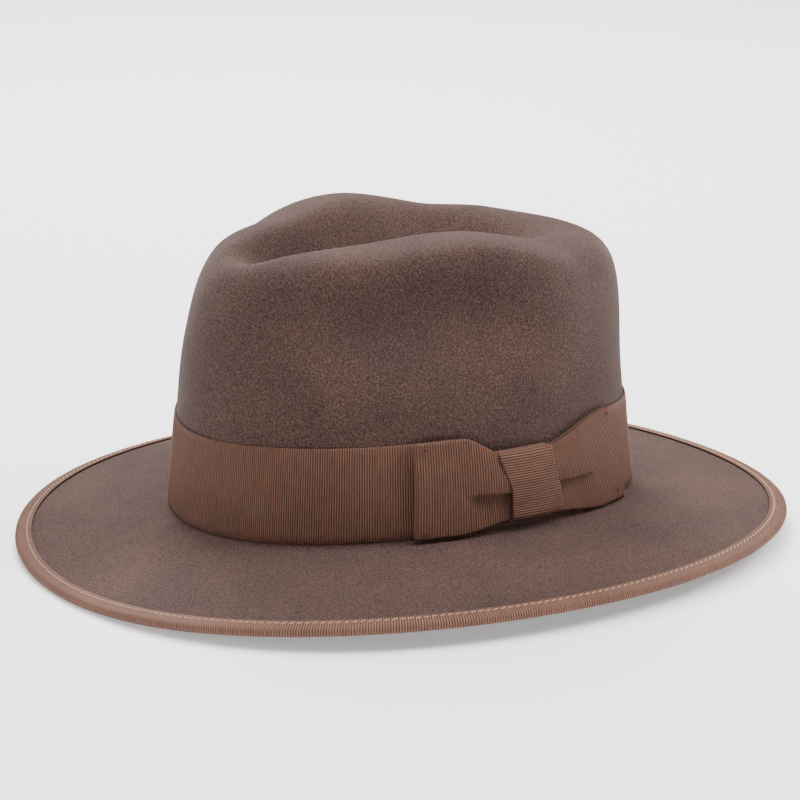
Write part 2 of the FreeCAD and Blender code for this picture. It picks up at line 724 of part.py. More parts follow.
# Small bow that marks the back seam of the sweatband.
def bowOutline(sketch):
    span = size["rear_bow_span"] / 2
    tall = size["rear_bow_height"] / 2
    waist = size["rear_bow_waist"] / 2
    corners = [(-span, -tall), (0, -waist), (span, -tall), (span, tall), (0, waist), (-span, tall)]
    for index in range(6):
        first = FreeCAD.Vector(corners[index][0], corners[index][1], 0)
        second = corners[(index + 1) % 6]
        second = FreeCAD.Vector(second[0], second[1], 0)
        sketch.addGeometry(Part.LineSegment(first, second), False)
    for index in range(6):
        sketch.addConstraint(Sketcher.Constraint("Coincident", index, 2, (index + 1) % 6, 1))
    for point, alias, sign in (
        (0, "rear_bow_span", -0.5), (2, "rear_bow_span", 0.5),
        (3, "rear_bow_span", 0.5), (5, "rear_bow_span", -0.5),
    ):
        rule = Sketcher.Constraint("DistanceX", -1, 1, point, 1, sign * size[alias])
        rule = sketch.addConstraint(rule)
        sketch.setExpression("Constraints[%d]" % rule, "%s * dimensions.%s" % (sign, alias))
    for point, alias, sign in (
        (0, "rear_bow_height", -0.5), (2, "rear_bow_height", -0.5),
        (3, "rear_bow_height", 0.5), (5, "rear_bow_height", 0.5),
        (1, "rear_bow_waist", -0.5), (4, "rear_bow_waist", 0.5),
    ):
        rule = Sketcher.Constraint("DistanceY", -1, 1, point, 1, sign * size[alias])
        rule = sketch.addConstraint(rule)
        sketch.setExpression("Constraints[%d]" % rule, "%s * dimensions.%s" % (sign, alias))
    sketch.addConstraint(Sketcher.Constraint("PointOnObject", 1, 1, -2))
    sketch.addConstraint(Sketcher.Constraint("PointOnObject", 4, 1, -2))


rearBow = padBody("sweatband_rear_bow", bowOutline, "XZ_Plane", "rear_bow_thickness")
rearBow.setExpression("Placement.Base.y", "dimensions.rear_bow_place")
rearBow.setExpression("Placement.Base.z", "dimensions.rear_bow_level")

doc.recompute()

nodes = [
    "felt_hood", "brim_binding", "brim_binding_stitches", "hatband", "bow_front_leaf",
    "bow_rear_leaf", "bow_knot", "bow_tack_stitches", "sweatband", "sweatband_reed",
    "sweatband_reed_tape", "sweatband_stitches", "sweatband_rear_bow", "lining_sidewall",
    "lining_tip", "lining_piping", "tip_shield",
]
os.makedirs("parts", exist_ok=True)
for item in doc.Objects:
    for word in ("Invalid", "Error"):
        if word in item.State:
            raise RuntimeError("%s: %s" % (item.Label, item.State))
for name in nodes:
    piece = doc.getObjectsByLabel(name)[0]
    shape = piece.Shape
    if shape.isNull() or not shape.isValid():
        raise RuntimeError("bad shape: " + name)
    bounds = shape.BoundBox
    print("%-22s solids %d volume %9.1f x %.2f..%.2f y %.2f..%.2f z %.2f..%.2f" % (
        name, len(shape.Solids), shape.Volume, bounds.XMin, bounds.XMax,
        bounds.YMin, bounds.YMax, bounds.ZMin, bounds.ZMax))
    shape.exportStep(os.path.join("parts", name + ".step"))
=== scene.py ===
import bpy
import bmesh
import math
import numpy as np
from mathutils import Matrix, Vector


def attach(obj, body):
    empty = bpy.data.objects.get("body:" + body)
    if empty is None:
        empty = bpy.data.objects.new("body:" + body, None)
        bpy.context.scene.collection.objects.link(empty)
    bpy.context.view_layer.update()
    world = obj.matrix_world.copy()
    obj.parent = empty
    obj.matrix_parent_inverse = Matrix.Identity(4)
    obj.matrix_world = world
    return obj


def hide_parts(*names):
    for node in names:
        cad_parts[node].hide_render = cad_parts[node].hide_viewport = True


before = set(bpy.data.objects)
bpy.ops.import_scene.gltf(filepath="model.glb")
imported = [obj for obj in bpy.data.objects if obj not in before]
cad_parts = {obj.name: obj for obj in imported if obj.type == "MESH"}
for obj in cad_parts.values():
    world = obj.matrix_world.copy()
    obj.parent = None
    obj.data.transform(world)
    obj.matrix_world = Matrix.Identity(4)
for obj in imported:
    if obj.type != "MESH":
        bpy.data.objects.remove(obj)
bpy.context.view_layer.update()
print("frame loaded")

mm = 0.001
full = 2 * math.pi
quarter = math.pi / 2


def smooth(low, high, value):
    t = np.clip((value - low) / (high - low), 0, 1)
    return t * t * (3 - 2 * t)


def bell(distance, spread, power=2.0):
    return np.exp(-np.abs(distance / spread) ** power)


# the block the felt was pulled over, in millimetres; the front of the hat is -Y
hat = {
    "stand": 7.1, "halfLength": 103.7, "halfWidth": 86.7, "felt": 2.2,
    "brimLength": 168.4, "brimWidth": 152.8, "squareness": 0.013,
    "breakHeight": 12.4, "breakSweep": 3.0, "breakTip": 1.4, "breakRadius": 3.0,
    "edgeSweep": 2.6, "edgeTip": 1.3, "edgeSquare": 0.56, "edgeSnap": 0.74,
    "crownHeight": 111.2, "peak": 7.0, "peakCentre": -0.038, "peakSpread": 0.396,
    "frontRise": 1.3, "backDrop": 9.2, "roundFront": 6.6, "roundBack": 12.5,
    "fillFront": 0.027, "fillBack": 0.036,
    "taperFront": 0.124, "taperBack": 0.100, "noseNarrowing": 0.07,
    "dentDepth": 34.3, "dentHalf": 45.7, "dentNose": 14.1, "dentFront": 84.3, "dentBack": 84.0,
    "dentFlare": 0.642, "rampFront": 0.253, "rampBack": 0.369, "tailIn": 8.0,
    "pinchDepth": 0.235, "pinchForward": 40.0, "pinchLength": 50.0, "pinchHeight": 89.5,
    "pinchBelow": 19.0, "pinchAbove": 23.0, "pinchSlope": 0.06,
}


def breakLevel(angle, fade=1.0):
    sweep = hat["breakSweep"] * np.cos(2 * angle) - hat["breakTip"] * np.sin(angle)
    return hat["stand"] + hat["breakHeight"] + sweep * fade


def edgeLevel(angle):
    level = hat["stand"] + hat["edgeTip"] * np.sin(angle) + hat["edgeSweep"] * np.cos(2 * angle)
    level = level - hat["edgeSquare"] * np.cos(4 * angle) - hat["edgeSnap"] * np.sin(3 * angle)
    return level + hat["felt"] / 2


def crownPoint(angle, climb):
    across, along = np.cos(climb), np.sin(climb)
    back = 0.5 + 0.5 * np.sin(angle)
    power = hat["roundFront"] * (1 - back) + hat["roundBack"] * back
    norm = (across ** power + along ** power) ** (1 / power)
    fill = hat["fillFront"] * (1 - back) + hat["fillBack"] * back
    fill = fill * smooth(0.55, 0.85, np.abs(np.sin(angle))) * bell(climb - math.pi / 4, 0.22)
    norm = norm / (1 + fill)
    reach, lift = across / norm, along / norm
    scale = reach * (1 - (hat["taperFront"] * (1 - back) + hat["taperBack"] * back) * lift)
    x = hat["halfWidth"] * scale * np.cos(angle)
    y = hat["halfLength"] * scale * np.sin(angle)
    place = y / hat["halfLength"]
    height = hat["crownHeight"] + hat["peak"] * bell(place - hat["peakCentre"], hat["peakSpread"])
    height = height - hat["backDrop"] * smooth(0, 1, place) + hat["frontRise"] * smooth(0, 1, -place)
    z = height * lift
    fromPinch = y + hat["pinchForward"]  # the two finger hollows under the ridges
    rise = z - hat["pinchHeight"] - hat["pinchSlope"] * fromPinch
    fade = np.where(rise < 0, hat["pinchBelow"], hat["pinchAbove"])
    x = x * (1 - hat["pinchDepth"] * bell(fromPinch, hat["pinchLength"], 3.4) * bell(rise, fade))
    x = x * (1 - hat["noseNarrowing"] * smooth(0.2, 1, -place) * smooth(0.4, 1, lift))
    share = (y + hat["dentFront"]) / (hat["dentFront"] + hat["dentBack"])  # the centre crease
    half = hat["dentNose"] + (hat["dentHalf"] - hat["dentNose"]) * smooth(-0.1, hat["dentFlare"], share)
    half = half - hat["tailIn"] * smooth(0.6, 1, share)
    valley = 0.5 * (1 + np.cos(math.pi * np.clip(np.abs(x) / half, 0, 1)))
    deep = hat["dentDepth"] * smooth(0, hat["rampFront"], share) * smooth(0, hat["rampBack"], 1 - share)
    z = z - deep * valley * smooth(0.55, 0.95, lift)
    z = z + breakLevel(angle, np.clip(1 - climb / 0.6, 0, 1))
    return np.stack([x, y, z], -1)


def brimPoint(angle, share):
    inset = hat["felt"] / 2
    x = hat["halfWidth"] * (1 - share) + (hat["brimWidth"] - inset) * share
    y = hat["halfLength"] * (1 - share) + (hat["brimLength"] - inset) * share
    oval = 1 - hat["squareness"] * np.cos(4 * angle) * share
    edge = edgeLevel(angle)
    z = edge + (breakLevel(angle) - edge) * (1 - share)
    return np.stack([x * oval * np.cos(angle), y * oval * np.sin(angle), z], -1)


tangentRun = hat["breakRadius"] * 0.733
brimRun = hat["brimLength"] - hat["halfLength"]
footClimb = math.atan(tangentRun / hat["crownHeight"])
footShare = tangentRun / brimRun


# down the outside of the felt: 0 top centre, 1 foot of the wall, 2 start of the brim, 3 its edge
def feltPoint(angle, path):
    angle, path = np.broadcast_arrays(np.asarray(angle, float), np.asarray(path, float))
    climb = quarter + (footClimb - quarter) * np.clip(path, 0, 1)
    crown = crownPoint(angle, climb)
    brim = brimPoint(angle, footShare + (1 - footShare) * np.clip(path - 2, 0, 1))
    foot = crownPoint(angle, np.full_like(path, footClimb))
    corner = crownPoint(angle, np.zeros_like(path))
    start = brimPoint(angle, np.full_like(path, footShare))
    t = np.clip(path - 1, 0, 1)[..., None]
    w0, w1, w2 = (1 - t) ** 2, 2 * t * (1 - t) * 0.806, t * t
    turn = (foot * w0 + corner * w1 + start * w2) / (w0 + w1 + w2)
    return np.where((path <= 1)[..., None], crown, np.where((path >= 2)[..., None], brim, turn))


def unit(vectors):
    return vectors / (np.linalg.norm(vectors, axis=-1, keepdims=True) + 1e-12)


def feltNormal(angle, path):
    path = np.maximum(path, 0.004)
    turn = feltPoint(angle + 0.004, path) - feltPoint(angle - 0.004, path)
    down = feltPoint(angle, np.minimum(path + 0.0008, 3)) - feltPoint(angle, path - 0.0008)
    return unit(np.cross(down, turn))


def besideFelt(angle, path, offset):
    return feltPoint(angle, path) + feltNormal(angle, path) * np.asarray(offset)[..., None]


# a point beside the wall: height above the crown's foot, offset out from the felt
def wallPoint(angle, height, offset):
    angle, height, offset = np.broadcast_arrays(
        np.asarray(angle, float), np.asarray(height, float), np.asarray(offset, float))
    lowest = crownPoint(angle, np.full_like(angle, footClimb))[..., 2]
    target = breakLevel(angle) + height
    climb = np.arctan(np.maximum(height, tangentRun) / hat["crownHeight"])
    for attempt in range(4):
        error = crownPoint(angle, climb)[..., 2] - np.maximum(target, lowest)
        climb = np.maximum(climb - error / hat["crownHeight"] * np.cos(climb) ** 2, footClimb)
    points = besideFelt(angle, (climb - quarter) / (footClimb - quarter), offset)
    points[..., 2] += np.minimum(target - lowest, 0)
    return points


# offset outward from the middle of the brim felt, inset from the straight part's end
def edgePoint(angle, inset, offset):
    path = 3 - inset / brimRun / (1 - tangentRun / brimRun)
    return besideFelt(angle, path, offset - hat["felt"] / 2)


def edgeTurn(angle, radius, turn):
    normal = feltNormal(angle, np.full_like(angle, 3.0))
    out = unit(feltPoint(angle, 3.0) - feltPoint(angle, 2.98))
    centre = besideFelt(angle, np.full_like(angle, 3.0), np.full_like(angle, -hat["felt"] / 2))
    radius = np.asarray(radius)
    return (centre + normal * (radius * np.cos(turn))[..., None]
            + out * (radius * np.sin(turn))[..., None])


# helpers for pieces
def finishPiece(piece, material, nodes):
    piece.data.materials.clear()
    piece.data.materials.append(material)
    for polygon in piece.data.polygons:
        polygon.use_smooth = True
    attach(piece, "root")
    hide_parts(*nodes)


# a grid laid along the piece (u) and round its section (v), with its own cut pattern as UV;
# ring closes it along u, tube closes its section
def sweptPiece(name, along, around, place, cut, ring=False, tube=True):
    mesh = bpy.data.meshes.new(name)
    bm = bmesh.new()
    bm.loops.layers.uv.new("cut")
    bmesh.ops.create_grid(bm, x_segments=along, y_segments=around, size=0.5, calc_uvs=True)
    bm.to_mesh(mesh)
    pattern = np.zeros(len(mesh.loops) * 2)
    mesh.uv_layers["cut"].data.foreach_get("uv", pattern)
    pattern = (pattern.reshape(-1, 2) * cut).ravel()
    mesh.uv_layers["cut"].data.foreach_set("uv", pattern)
    flat = np.zeros(len(mesh.vertices) * 3)
    mesh.vertices.foreach_get("co", flat)
    u, v = flat[0::3] + 0.5, flat[1::3] + 0.5
    u = np.where(ring & (u > 0.99999), 0.0, u)
    v = np.where(tube & (v > 0.99999), 0.0, v)
    points = place(u, v) * mm
    mesh.vertices.foreach_set("co", points.ravel())
    bm.free()
    bm = bmesh.new()
    bm.from_mesh(mesh)
    bmesh.ops.remove_doubles(bm, verts=bm.verts, dist=2e-6)
    if not ring:
        rims = [edge for edge in bm.edges if edge.is_boundary]
        bmesh.ops.holes_fill(bm, edges=rims, sides=0)
    bmesh.ops.recalc_face_normals(bm, faces=bm.faces)
    if bm.calc_volume(signed=True) < 0:
        bmesh.ops.reverse_faces(bm, faces=bm.faces)
    bm.to_mesh(mesh)
    bm.free()
    piece = bpy.data.objects.new(name, mesh)
    bpy.context.scene.collection.objects.link(piece)
    return piece


def pieceFrom(bm, name):
    mesh = bpy.data.meshes.new(name)
    bm.to_mesh(mesh)
    bm.free()
    piece = bpy.data.objects.new(name, mesh)
    bpy.context.scene.collection.objects.link(piece)
    return piece


# short stitches: each a slim bead laid from start to stop
def stitchRow(name, starts, stops, radius):
    bm = bmesh.new()
    for start, stop in zip(starts, stops):
        start, stop = Vector(start) * mm, Vector(stop) * mm
        run = stop - start
        turn = run.to_track_quat("Z", "Y").to_matrix().to_4x4()
        shape = Matrix.Diagonal((radius * mm, radius * mm, run.length / 2, 1))
        place = Matrix.Translation((start + stop) / 2) @ turn @ shape
        bmesh.ops.create_uvsphere(bm, u_segments=6, v_segments=4, radius=1, matrix=place)
    return pieceFrom(bm, name)


# rounded flat section: v 0..1 goes up the outer face, over the top and down the inner face
def stripLoop(v, low, high, inner, outer):
    half = (outer - inner) / 2
    middle = (outer + inner) / 2
    bottom, top = low + half, high - half
    upShare = np.clip(v / 0.44, 0, 1)
    downShare = np.clip((v - 0.5) / 0.44, 0, 1)
    turnTop = np.clip((v - 0.44) / 0.06, 0, 1) * math.pi
    turnLow = np.clip((v - 0.94) / 0.06, 0, 1) * math.pi
    height = np.where(v < 0.44, bottom + (top - bottom) * upShare, top + half * np.sin(turnTop))
    offset = np.where(v < 0.44, outer, middle + half * np.cos(turnTop))
    height = np.where(v > 0.5, top + (bottom - top) * downShare, height)
    offset = np.where(v > 0.5, inner, offset)
    height = np.where(v > 0.94, bottom - half * np.sin(turnLow), height)
    offset = np.where(v > 0.94, middle - half * np.cos(turnLow), offset)
    return height, offset


# rounded ribs across a ribbon; the count is in whole ribs, so the shader's ribs fall on them
def ribs(count):
    return np.abs(np.sin(math.pi * count)) ** 0.8


# materials
def newMaterial(name):
    material = bpy.data.materials.new(name)
    material.use_nodes = True
    nodes = material.node_tree.nodes
    shader = next(node for node in nodes if node.type == "BSDF_PRINCIPLED")
    return material, nodes, material.node_tree.links, shader


def addNode(nodes, kind, **values):
    node = nodes.new(kind)
    for key, value in values.items():
        if hasattr(node, key):
            setattr(node, key, value)
        else:
            node.inputs[key].default_value = value
    return node


def noiseNode(nodes, links, source, scale, detail, roughness=0.5, distortion=0.0):
    node = addNode(nodes, "ShaderNodeTexNoise")
    node.inputs["Scale"].default_value = scale
    node.inputs["Detail"].default_value = detail
    node.inputs["Roughness"].default_value = roughness
    node.inputs["Distortion"].default_value = distortion
    links.new(source, node.inputs["Vector"])
    return node


def rampNode(nodes, links, source, stops):
    node = nodes.new("ShaderNodeValToRGB")
    while len(node.color_ramp.elements) < len(stops):
        node.color_ramp.elements.new(0.5)
    for element, (place, colour) in zip(node.color_ramp.elements, stops):
        element.position = place
        element.color = (*colour, 1)
    links.new(source, node.inputs["Fac"])
    return node


def mixNode(nodes, links, factor, first, second, mode="MIX"):
    node = nodes.new("ShaderNodeMix")
    node.data_type = "RGBA"
    node.blend_type = mode
    for socket, value in ((node.inputs[0], factor), (node.inputs[6], first), (node.inputs[7], second)):
        if isinstance(value, bpy.types.NodeSocket):
            links.new(value, socket)
        elif isinstance(value, (int, float)):
            socket.default_value = value
        else:
            socket.default_value = (*value, 1)
    return node.outputs[2]


def mathNode(nodes, links, operation, first, second=0.0, third=0.0):
    node = nodes.new("ShaderNodeMath")
    node.operation = operation
    for socket, value in zip(node.inputs, (first, second, third)):
        if isinstance(value, bpy.types.NodeSocket):
            links.new(value, socket)
        else:
            socket.default_value = value
    return node.outputs[0]


def bumpNode(nodes, links, height, strength, distance, below=None):
    node = nodes.new("ShaderNodeBump")
    node.inputs["Strength"].default_value = strength
    node.inputs["Distance"].default_value = distance
    links.new(height, node.inputs["Height"])
    if below is not None:
        links.new(below, node.inputs["Normal"])
    return node.outputs["Normal"]


def separate(nodes, links, source):
    node = nodes.new("ShaderNodeSeparateXYZ")
    links.new(source, node.inputs[0])
    return node.outputs


def mapped(nodes, links, source, scale):
    node = nodes.new("ShaderNodeMapping")
    node.inputs["Scale"].default_value = scale
    links.new(source, node.inputs["Vector"])
    return node.outputs[0]


feltLook = {
    "light": (0.102, 0.0610, 0.0525), "middle": (0.0640, 0.0378, 0.0324), "dark": (0.035, 0.0204, 0.0175),
    "mottle": 1250, "patch": 26, "napBump": 0.55,
}


def makeFelt():
    material, nodes, links, shader = newMaterial("furFelt")
    place = addNode(nodes, "ShaderNodeTexCoord").outputs["Object"]
    mottle = noiseNode(nodes, links, place, feltLook["mottle"], 3, 0.6)
    patch = noiseNode(nodes, links, place, feltLook["patch"], 4, 0.55)
    fleck = noiseNode(nodes, links, mapped(nodes, links, place, (1, 1, 0.6)), 2600, 2, 0.6)
    tone = rampNode(nodes, links, mottle.outputs["Fac"], [
        (0.34, feltLook["dark"]), (0.5, feltLook["middle"]), (0.68, feltLook["light"])])
    cloud = rampNode(nodes, links, patch.outputs["Fac"], [
        (0.35, (0.86, 0.86, 0.87)), (0.65, (1.1, 1.09, 1.07))])
    colour = mixNode(nodes, links, 1.0, tone.outputs[0], cloud.outputs[0], "MULTIPLY")
    speck = rampNode(nodes, links, fleck.outputs["Fac"], [(0.3, (0.7, 0.7, 0.7)), (0.7, (1.3, 1.3, 1.3))])
    colour = mixNode(nodes, links, 1.0, colour, speck.outputs[0], "MULTIPLY")
    links.new(colour, shader.inputs["Base Color"])
    shader.inputs["Roughness"].default_value = 0.95
    shader.inputs["Specular IOR Level"].default_value = 0.08
    shader.inputs["Sheen Weight"].default_value = 0.14
    shader.inputs["Sheen Roughness"].default_value = 0.42
    shader.inputs["Sheen Tint"].default_value = (0.92, 0.80, 0.76, 1)
    coarse = bumpNode(nodes, links, mottle.outputs["Fac"], feltLook["napBump"], 0.0006)
    fine = bumpNode(nodes, links, fleck.outputs["Fac"], 0.25, 0.0003, coarse)
    links.new(fine, shader.inputs["Normal"])
    return material


# ribbon colours: a lit colour for the rib tops and a much darker painted shade for the grooves between ribs
ribbonLook = {
    "ridgeLit": (0.165, 0.077, 0.051), "grooveShade": (0.017, 0.0070, 0.0046), "warp": 3.0,
}


# ribbon pattern: u counts whole ribs, v counts rib pitches across them; the colour runs from a lit colour on
# the rib tops to painted shade in the grooves
def makeGrosgrain(name, ridgeLit, grooveShade, ribBump=0.7):
    material, nodes, links, shader = newMaterial(name)
    pattern = addNode(nodes, "ShaderNodeUVMap", uv_map="cut").outputs["UV"]
    place = addNode(nodes, "ShaderNodeTexCoord").outputs["Object"]
    u, v, w = separate(nodes, links, pattern)
    wave = mathNode(nodes, links, "SINE", mathNode(nodes, links, "MULTIPLY", u, math.pi))
    wave = mathNode(nodes, links, "ABSOLUTE", wave)
    thread = mathNode(nodes, links, "MULTIPLY", v, full * ribbonLook["warp"])
    thread = mathNode(nodes, links, "ADD", thread, mathNode(nodes, links, "MULTIPLY", u, math.pi))
    thread = mathNode(nodes, links, "MULTIPLY_ADD", mathNode(nodes, links, "SINE", thread), 0.5, 0.5)
    uneven = noiseNode(nodes, links, mapped(nodes, links, pattern, (0.9, 0.12, 1)), 1.0, 3, 0.6)
    slub = noiseNode(nodes, links, place, 45, 3, 0.5)
    ridgeShare = mathNode(nodes, links, "POWER", wave, 1.1)
    # painted shade: the grooves between ribs get the dark colour, the rib tops the lit one
    colour = mixNode(nodes, links, ridgeShare, grooveShade, ridgeLit)
    tint = rampNode(nodes, links, uneven.outputs["Fac"], [
        (0.3, (0.84, 0.83, 0.82)), (0.7, (1.14, 1.13, 1.12))])
    colour = mixNode(nodes, links, 1.0, colour, tint.outputs[0], "MULTIPLY")
    fibre = rampNode(nodes, links, thread, [(0.0, (0.88, 0.88, 0.88)), (1.0, (1.08, 1.08, 1.08))])
    colour = mixNode(nodes, links, 1.0, colour, fibre.outputs[0], "MULTIPLY")
    cloud = rampNode(nodes, links, slub.outputs["Fac"], [
        (0.35, (0.93, 0.93, 0.94)), (0.65, (1.06, 1.06, 1.05))])
    colour = mixNode(nodes, links, 1.0, colour, cloud.outputs[0], "MULTIPLY")
    links.new(colour, shader.inputs["Base Color"])
    rough = mathNode(nodes, links, "MULTIPLY_ADD", ridgeShare, -0.14, 0.72)
    links.new(rough, shader.inputs["Roughness"])
    shader.inputs["Specular IOR Level"].default_value = 0.18
    shader.inputs["Sheen Weight"].default_value = 0.04
    shader.inputs["Sheen Roughness"].default_value = 0.4
    shader.inputs["Sheen Tint"].default_value = (0.9, 0.75, 0.66, 1)
    ribNormal = bumpNode(nodes, links, wave, ribBump, 0.00034)
    threadNormal = bumpNode(nodes, links, thread, 0.3, 0.00006, ribNormal)
    links.new(threadNormal, shader.inputs["Normal"])
    return material


def makeThread(name, light, dark):
    material, nodes, links, shader = newMaterial(name)
    place = addNode(nodes, "ShaderNodeTexCoord").outputs["Object"]
    twist = addNode(nodes, "ShaderNodeTexWave")
    twist.inputs["Scale"].default_value = 900
    twist.inputs["Distortion"].default_value = 3
    twist.inputs["Detail"].default_value = 2
    links.new(place, twist.inputs["Vector"])
    tone = rampNode(nodes, links, twist.outputs["Fac"], [(0.2, dark), (0.8, light)])
    links.new(tone.outputs[0], shader.inputs["Base Color"])
    shader.inputs["Roughness"].default_value = 0.55
    shader.inputs["Specular IOR Level"].default_value = 0.4
    links.new(bumpNode(nodes, links, twist.outputs["Fac"], 0.4, 0.0001), shader.inputs["Normal"])
    return material


def makeLeather():
    material, nodes, links, shader = newMaterial("sweatbandLeather")
    place = addNode(nodes, "ShaderNodeTexCoord").outputs["Object"]
    grain = addNode(nodes, "ShaderNodeTexVoronoi", feature="DISTANCE_TO_EDGE")
    grain.inputs["Scale"].default_value = 900
    links.new(place, grain.inputs["Vector"])
    patch = noiseNode(nodes, links, place, 38, 4, 0.6)
    fine = noiseNode(nodes, links, place, 1400, 2, 0.5)
    tone = rampNode(nodes, links, patch.outputs["Fac"], [
        (0.32, (0.095, 0.042, 0.020)), (0.55, (0.135, 0.062, 0.030)), (0.75, (0.172, 0.084, 0.043))])
    crease = rampNode(nodes, links, grain.outputs["Distance"], [
        (0.0, (0.62, 0.6, 0.58)), (0.12, (1.0, 1.0, 1.0))])
    colour = mixNode(nodes, links, 0.8, tone.outputs[0], crease.outputs[0], "MULTIPLY")
    links.new(colour, shader.inputs["Base Color"])
    rough = mathNode(nodes, links, "MULTIPLY_ADD", patch.outputs["Fac"], 0.3, 0.34)
    links.new(rough, shader.inputs["Roughness"])
    pores = bumpNode(nodes, links, grain.outputs["Distance"], 0.5, 0.0002)
    links.new(bumpNode(nodes, links, fine.outputs["Fac"], 0.2, 0.0001, pores), shader.inputs["Normal"])
    return material


def makeSatin(name, light, dark, weave=2.2):
    material, nodes, links, shader = newMaterial(name)
    place = addNode(nodes, "ShaderNodeTexCoord").outputs["Object"]
    threads = addNode(nodes, "ShaderNodeTexWave", bands_direction="DIAGONAL")
    threads.inputs["Scale"].default_value = weave * 500
    threads.inputs["Distortion"].default_value = 1.5
    threads.inputs["Detail"].default_value = 2
    links.new(place, threads.inputs["Vector"])
    patch = noiseNode(nodes, links, place, 30, 3, 0.5)
    tone = rampNode(nodes, links, patch.outputs["Fac"], [(0.3, dark), (0.7, light)])
    weaveTone = rampNode(nodes, links, threads.outputs["Fac"], [
        (0.0, (0.88, 0.88, 0.88)), (1.0, (1.07, 1.07, 1.07))])
    colour = mixNode(nodes, links, 1.0, tone.outputs[0], weaveTone.outputs[0], "MULTIPLY")
    links.new(colour, shader.inputs["Base Color"])
    shader.inputs["Roughness"].default_value = 0.38
    shader.inputs["Specular IOR Level"].default_value = 0.5
    shader.inputs["Anisotropic"].default_value = 0.5
    shader.inputs["Sheen Weight"].default_value = 0.15
    links.new(bumpNode(nodes, links, threads.outputs["Fac"], 0.15, 0.00008), shader.inputs["Normal"])
    return material


def makePlastic(name, colour, roughness, alpha=1.0):
    material, nodes, links, shader = newMaterial(name)
    place = addNode(nodes, "ShaderNodeTexCoord").outputs["Object"]
    smear = noiseNode(nodes, links, place, 60, 4, 0.6)
    tone = rampNode(nodes, links, smear.outputs["Fac"], [
        (0.3, tuple(0.92 * c for c in colour)), (0.7, colour)])
    links.new(tone.outputs[0], shader.inputs["Base Color"])
    rough = mathNode(nodes, links, "MULTIPLY_ADD", smear.outputs["Fac"], 0.12, roughness)
    links.new(rough, shader.inputs["Roughness"])
    shader.inputs["Alpha"].default_value = alpha
    links.new(bumpNode(nodes, links, smear.outputs["Fac"], 0.1, 0.0002), shader.inputs["Normal"])
    return material


felt = makeFelt()
grosgrain = makeGrosgrain("grosgrainBand", ribbonLook["ridgeLit"], ribbonLook["grooveShade"])
# binding colours: lit colour on the rib tops, painted shade in the grooves
bindingRibbon = makeGrosgrain("grosgrainBinding", (0.215, 0.106, 0.074), (0.034, 0.0155, 0.0105))
goldThread = makeThread("goldThread", (0.60, 0.38, 0.25), (0.34, 0.20, 0.13))
redThread = makeThread("redThread", (0.16, 0.040, 0.022), (0.07, 0.018, 0.010))
leatherThread = makeThread("leatherThread", (0.28, 0.16, 0.09), (0.14, 0.07, 0.04))
leather = makeLeather()
satin = makeSatin("liningSatin", (0.19, 0.115, 0.080), (0.15, 0.088, 0.060))
darkSatin = makeSatin("trimSatin", (0.10, 0.050, 0.034), (0.07, 0.034, 0.023), 1.6)
cotton = makeThread("cottonTape", (0.10, 0.062, 0.046), (0.06, 0.037, 0.027))
reedPlastic = makePlastic("reedPlastic", (0.62, 0.57, 0.46), 0.4)
clearPlastic = makePlastic("clearShield", (0.93, 0.94, 0.93), 0.08, 0.22)
print("materials made")

# felt hood: crown, brim, edge, underside and the inside of the crown in one skin
hoodPiece = {"around": 336, "down": 250, "handLumps": 0.35}
hoodStops = ([0, 0.30, 0.325, 0.46], [0, 1, 2, 3])


def handShaping(points):
    x, y, z = points[:, 0], points[:, 1], points[:, 2]
    lump = np.sin(x / 19 + 1.7) * np.sin(y / 23 - 0.6) * np.sin(z / 17 + 0.4)
    lump = lump + 0.5 * np.sin(x / 11 - y / 14 + 0.8) * np.sin(z / 12 + y / 30)
    return lump * smooth(60, 78, z)


def placeHood(u, v):
    angle = quarter + full * u
    w = np.where(v <= 0.5, v, 1 - v)
    path = np.interp(w, *hoodStops)
    side = np.where(v <= 0.5, 0.0, -hat["felt"])
    points = besideFelt(angle, path, side)
    onEdge = (v > 0.46) & (v < 0.54)
    turn = np.clip((v - 0.46) / 0.08, 0, 1) * math.pi
    rounded = edgeTurn(angle, np.full_like(angle, hat["felt"] / 2), turn)
    points = np.where(onEdge[:, None], rounded, points)
    lump = handShaping(points) * hoodPiece["handLumps"]
    points = points + feltNormal(angle, path) * lump[:, None]
    top = w < 1e-6
    for face, offset in ((v < 0.5, 0.0), (v > 0.5, -hat["felt"])):
        centre = besideFelt(np.array([quarter]), np.array([0.004]), np.array([offset]))[0]
        points[top & face] = centre * (0, 0, 1)
    return points


hood = sweptPiece("feltHood", hoodPiece["around"], hoodPiece["down"], placeHood, (600, 400),
                  ring=True, tube=False)
finishPiece(hood, felt, ["felt_hood"])
print("hood shaped")

# binding: a ribbed strip folded over the brim edge
bindingPiece = {"thickness": 0.7, "width": 6.7, "gap": 0.06, "ribPitch": 1.05, "ribDepth": 0.13,
                "girth": 1008}
bindingRibs = round(bindingPiece["girth"] / bindingPiece["ribPitch"])


